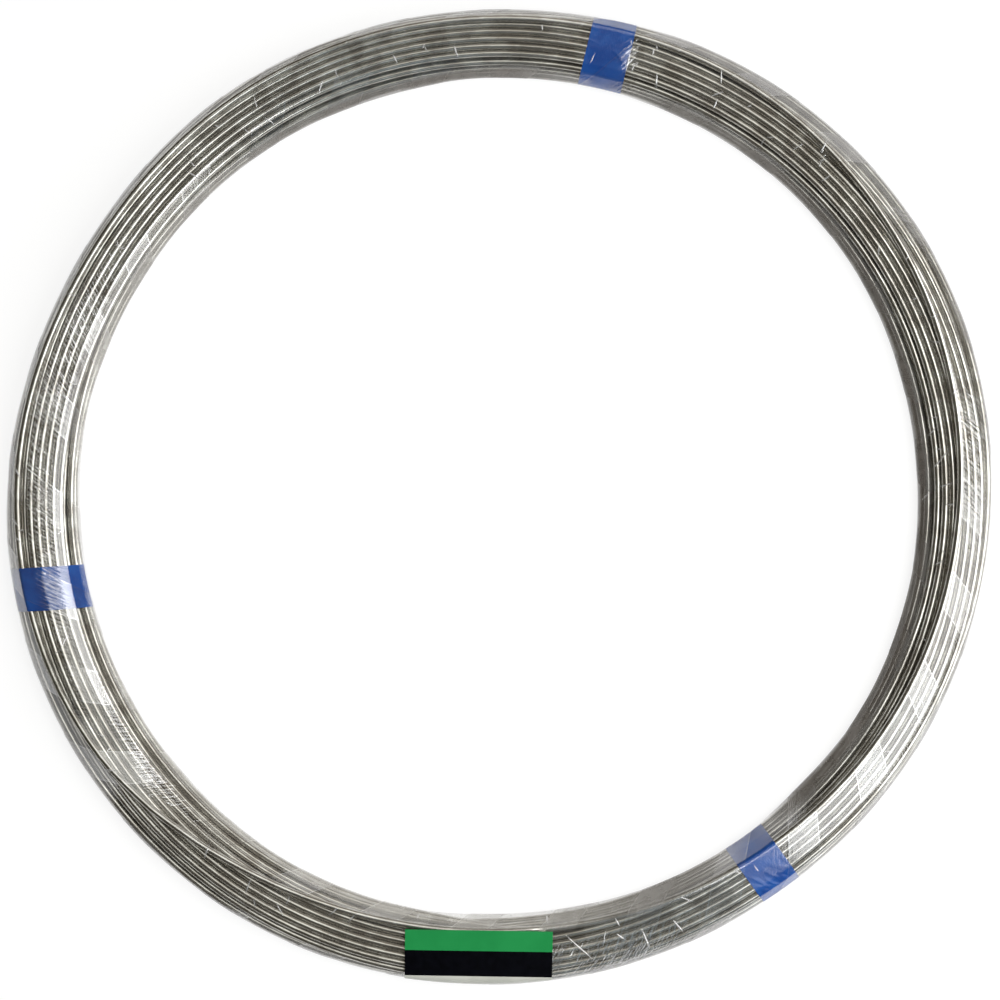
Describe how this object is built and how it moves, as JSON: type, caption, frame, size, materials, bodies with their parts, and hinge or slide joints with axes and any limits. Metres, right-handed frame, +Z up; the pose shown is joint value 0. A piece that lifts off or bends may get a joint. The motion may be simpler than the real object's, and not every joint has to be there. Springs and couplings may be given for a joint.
{
  "type": "coil of iron wire",
  "caption": "Flat coil of galvanised iron wire, bound with vinyl tape bands and wrapped in clear film, with a folded card label.",
  "frame": {"origin": "on the floor plane, under the centre of the ring", "axes": "+Z up along the coil's axis, -Y towards the card label, +X to the right of someone who faces the label"},
  "size_m": [0.4286, 0.4303, 0.0184],
  "materials": {
    "galvanised_wire": "drawn galvanised wire, satin",
    "clear_film": "clear stretch film, glossy",
    "blue_tape": "vinyl tape, glossy",
    "label_card": "coated card"
  },
  "bodies": {
    "root": {"wire_coil": "galvanised_wire", "film_wrap": "clear_film", "tape_back": "blue_tape", "tape_side": "blue_tape", "tape_front": "blue_tape", "card_label": "label_card"}
  },
  "joints": []
}
